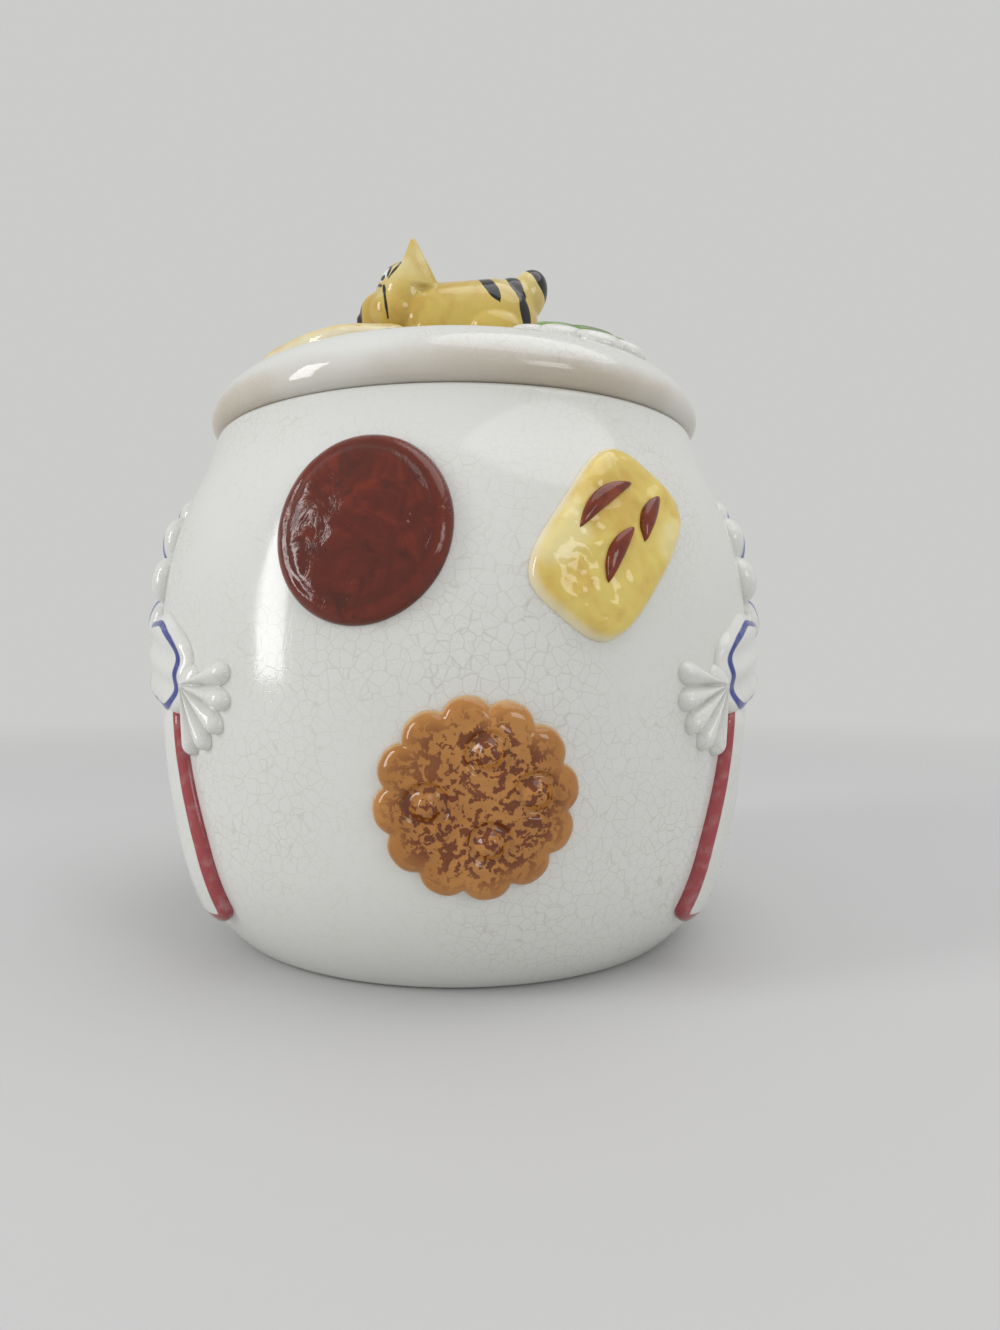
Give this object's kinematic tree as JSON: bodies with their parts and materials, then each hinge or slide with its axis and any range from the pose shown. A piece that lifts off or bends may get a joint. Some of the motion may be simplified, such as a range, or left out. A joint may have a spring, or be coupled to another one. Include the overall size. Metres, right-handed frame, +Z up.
{
  "type": "biscuit jar",
  "caption": "Barrel-shaped crackle-glazed earthenware biscuit jar with relief biscuits, side ribbons and a loose domed lid gripped by a lying kitten.",
  "frame": {"origin": "on the jar's axis at the table, the middle of the foot ring's face", "axes": "+Z up along the jar's axis; the front with the scalloped biscuit faces -Y; the kitten looks towards -X"},
  "size_m": [0.2064, 0.2058, 0.2361],
  "materials": {
    "white_glaze": "white crackled gloss glaze on earthenware",
    "relief_white_glaze": "white gloss glaze",
    "chocolate_glaze": "dark red-brown gloss glaze",
    "butter_glaze": "mottled yellow gloss glaze",
    "sliver_glaze": "red-brown gloss glaze",
    "tan_glaze": "speckled tan gloss glaze",
    "blue_glaze": "cobalt blue gloss glaze",
    "ribbon_glaze": "white gloss glaze with painted pink-red edges",
    "lid_biscuit_glaze": "mottled yellow gloss glaze",
    "icing_glaze": "green gloss glaze",
    "kitten_glaze": "yellow gloss glaze with black stripes",
    "black_glaze": "black gloss glaze",
    "nose_glaze": "dark pink gloss glaze"
  },
  "bodies": {
    "jar": {"almond_slivers_back": "sliver_glaze", "almond_slivers_front": "sliver_glaze", "bow_loop_left_back": "relief_white_glaze", "bow_loop_left_front": "relief_white_glaze", "bow_loop_right_back": "relief_white_glaze", "bow_loop_right_front": "relief_white_glaze", "butter_biscuit_back": "butter_glaze", "butter_biscuit_front": "butter_glaze", "chocolate_biscuit_back": "chocolate_glaze", "chocolate_biscuit_front": "chocolate_glaze", "jar_body": "white_glaze", "pleated_end_left_back": "relief_white_glaze", "pleated_end_left_front": "relief_white_glaze", "pleated_end_right_back": "relief_white_glaze", "pleated_end_right_front": "relief_white_glaze", "ribbon_tail_left_back": "ribbon_glaze", "ribbon_tail_left_front": "ribbon_glaze", "ribbon_tail_right_back": "ribbon_glaze", "ribbon_tail_right_front": "ribbon_glaze", "rosette_button_left": "blue_glaze", "rosette_button_right": "blue_glaze", "rosette_left": "relief_white_glaze", "rosette_right": "relief_white_glaze", "scalloped_biscuit_back": "tan_glaze", "scalloped_biscuit_front": "tan_glaze"},
    "lid": {"iced_base_back": "relief_white_glaze", "iced_base_front": "relief_white_glaze", "icing_back": "icing_glaze", "icing_front": "icing_glaze", "kitten_body": "kitten_glaze", "kitten_ear_far": "kitten_glaze", "kitten_ear_near": "kitten_glaze", "kitten_fore_paw_far": "kitten_glaze", "kitten_fore_paw_near": "kitten_glaze", "kitten_head": "kitten_glaze", "kitten_hind_paw_far": "kitten_glaze", "kitten_hind_paw_near": "kitten_glaze", "kitten_muzzle": "kitten_glaze", "kitten_nose": "nose_glaze", "kitten_tail": "kitten_glaze", "kitten_tail_tip": "black_glaze", "kitten_thigh_far": "kitten_glaze", "kitten_thigh_near": "kitten_glaze", "lid": "white_glaze", "lid_biscuit_back": "lid_biscuit_glaze", "lid_biscuit_front": "lid_biscuit_glaze", "lid_flange": "white_glaze", "lid_slivers_back": "sliver_glaze", "lid_slivers_front": "sliver_glaze"}
  },
  "joints": [
    {"name": "lid_lift", "type": "slide", "parent": "jar", "child": "lid", "axis": [0, 0, 1], "range_m": [0, 0.12]}
  ]
}
